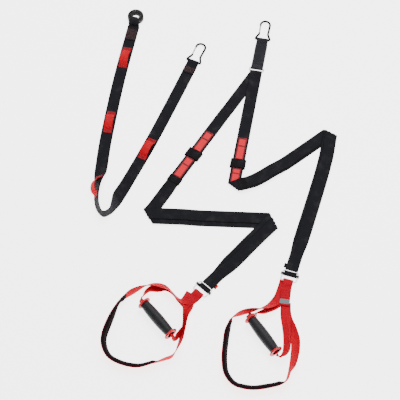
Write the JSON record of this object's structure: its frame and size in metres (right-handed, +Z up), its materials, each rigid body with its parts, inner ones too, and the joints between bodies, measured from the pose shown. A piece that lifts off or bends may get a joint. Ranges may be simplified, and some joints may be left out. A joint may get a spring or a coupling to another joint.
{
  "type": "suspension trainer with anchor strap",
  "caption": "Two-handled webbing suspension trainer laid out flat, with padded foot loops, foam grips, slide buckles, carabiners and a separate anchor strap with a door stop.",
  "frame": {"origin": "centre of the laid-out trainer on the surface it lies on", "axes": "+Z up from that surface; +Y from the handles to the carabiners; +X to the right handle"},
  "size_m": [0.7427, 1.315, 0.0412],
  "materials": {
    "black_webbing": "woven polyester webbing, matt",
    "red_webbing": "woven polyester webbing, slight sheen",
    "padding": "knitted cover over foam, red backing",
    "chrome_rod": "bright plated",
    "black_hardware": "black coated steel, satin",
    "gate_metal": "satin",
    "spring_steel": "bright",
    "grip_foam": "closed-cell foam, matt",
    "grip_plastic": "moulded, satin",
    "flange_plastic": "moulded, slightly glossy",
    "label_cloth": "printed satin, blank",
    "stop_rubber": "speckled cellular rubber"
  },
  "bodies": {
    "straps": {"left_leg_webbing": "black_webbing", "right_leg_webbing": "black_webbing", "left_upper_patch": "red_webbing", "left_lower_patch": "red_webbing", "right_upper_patch": "red_webbing", "right_lower_patch": "red_webbing", "left_tail_loop": "black_webbing", "right_tail_loop": "black_webbing", "left_slide_bar": "black_hardware", "right_slide_bar": "black_hardware", "left_tail_stop": "red_webbing", "right_tail_stop": "black_webbing"},
    "left_keeper": {"left_keeper": "black_webbing"},
    "right_keeper": {"right_keeper": "black_webbing"},
    "ring": {"y_ring": "chrome_rod"},
    "hanger": {"hanger_webbing": "black_webbing"},
    "main_carabiner": {"main_carabiner": "black_hardware", "main_gate_pin": "gate_metal"},
    "main_gate": {"main_gate": "gate_metal", "main_gate_plunger": "gate_metal", "main_gate_spring": "spring_steel"},
    "anchor_strap": {"anchor_webbing": "black_webbing", "door_stop": "stop_rubber", "length_loop_1": "red_webbing", "length_loop_2": "red_webbing", "length_loop_3": "red_webbing", "length_loop_4": "red_webbing"},
    "anchor_carabiner": {"anchor_carabiner": "black_hardware", "anchor_gate_pin": "gate_metal"},
    "anchor_gate": {"anchor_gate": "gate_metal", "anchor_gate_plunger": "gate_metal", "anchor_gate_spring": "spring_steel"},
    "left_buckle": {"left_buckle_frame": "chrome_rod"},
    "right_buckle": {"right_buckle_frame": "chrome_rod"},
    "left_handle": {"left_tab": "red_webbing", "left_hand_webbing": "red_webbing", "left_foot_webbing": "red_webbing", "left_foot_pad": "padding"},
    "left_grip": {"left_grip_sleeve": "grip_foam", "left_grip_tube": "grip_plastic", "left_upper_flange": "flange_plastic", "left_lower_flange": "flange_plastic"},
    "right_handle": {"right_tab": "red_webbing", "right_hand_webbing": "red_webbing", "right_foot_webbing": "red_webbing", "right_foot_pad": "padding", "right_label": "label_cloth"},
    "right_grip": {"right_grip_sleeve": "grip_foam", "right_grip_tube": "grip_plastic", "right_upper_flange": "flange_plastic", "right_lower_flange": "flange_plastic"}
  },
  "joints": [
    {"name": "left_keeper_slide", "type": "slide", "parent": "straps", "child": "left_keeper", "axis": [-0.5397, -0.8419, 0], "range_m": [-0.06, 0.06]},
    {"name": "right_keeper_slide", "type": "slide", "parent": "straps", "child": "right_keeper", "axis": [-0.1787, -0.9839, 0], "range_m": [-0.06, 0.015]},
    {"name": "ring_tilt", "type": "hinge", "parent": "straps", "child": "ring", "pos_m": [0.1302, 0.4217, 0.007], "axis": [0.9839, -0.1787, 0], "range_deg": [0, 45]},
    {"name": "hanger_tilt", "type": "hinge", "parent": "ring", "child": "hanger", "pos_m": [0.13225, 0.43301, 0.007], "axis": [0.9839, -0.1787, 0], "range_deg": [0, 45]},
    {"name": "main_carabiner_tilt", "type": "hinge", "parent": "hanger", "child": "main_carabiner", "pos_m": [0.15254, 0.54469, 0.00575], "axis": [0.9839, -0.1787, 0], "range_deg": [0, 60]},
    {"name": "main_gate_swing", "type": "hinge", "parent": "main_carabiner", "child": "main_gate", "pos_m": [0.14359, 0.57477, 0.00575], "axis": [0, 0, -1], "range_deg": [0, 22], "stiffness_Nm_per_rad": 0.2, "springref_deg": -11.46},
    {"name": "anchor_strap_lift", "type": "slide", "parent": "straps", "child": "anchor_strap", "axis": [0, 0, 1], "range_m": [0, 0.3]},
    {"name": "anchor_carabiner_tilt", "type": "hinge", "parent": "anchor_strap", "child": "anchor_carabiner", "pos_m": [-0.0678, 0.4597, 0.00575], "axis": [0.9191, -0.3939, 0], "range_deg": [0, 90]},
    {"name": "anchor_gate_swing", "type": "hinge", "parent": "anchor_carabiner", "child": "anchor_gate", "pos_m": [-0.0698, 0.49102, 0.00575], "axis": [0, 0, -1], "range_deg": [0, 22], "stiffness_Nm_per_rad": 0.2, "springref_deg": -11.46},
    {"name": "left_buckle_slide", "type": "slide", "parent": "straps", "child": "left_buckle", "axis": [-0.6807, -0.7326, 0], "range_m": [-0.006, 0.0015]},
    {"name": "left_handle_tilt", "type": "hinge", "parent": "left_buckle", "child": "left_handle", "pos_m": [-0.05109, -0.35668, 0.0075], "axis": [-0.7326, 0.6807, 0], "range_deg": [0, 80]},
    {"name": "left_grip_spin", "type": "hinge", "parent": "left_handle", "child": "left_grip", "pos_m": [-0.1683, -0.4433, 0.0207], "axis": [0.6219, -0.7831, 0], "continuous": true},
    {"name": "right_buckle_slide", "type": "slide", "parent": "straps", "child": "right_buckle", "axis": [-0.2914, -0.9566, 0], "range_m": [-0.006, 0.0015]},
    {"name": "right_handle_tilt", "type": "hinge", "parent": "right_buckle", "child": "right_handle", "pos_m": [0.20808, -0.31839, 0.0075], "axis": [-0.9566, 0.2914, 0], "range_deg": [0, 80]},
    {"name": "right_grip_spin", "type": "hinge", "parent": "right_handle", "child": "right_grip", "pos_m": [0.1322, -0.4943, 0.0207], "axis": [0.5511, -0.8345, 0], "continuous": true}
  ]
}
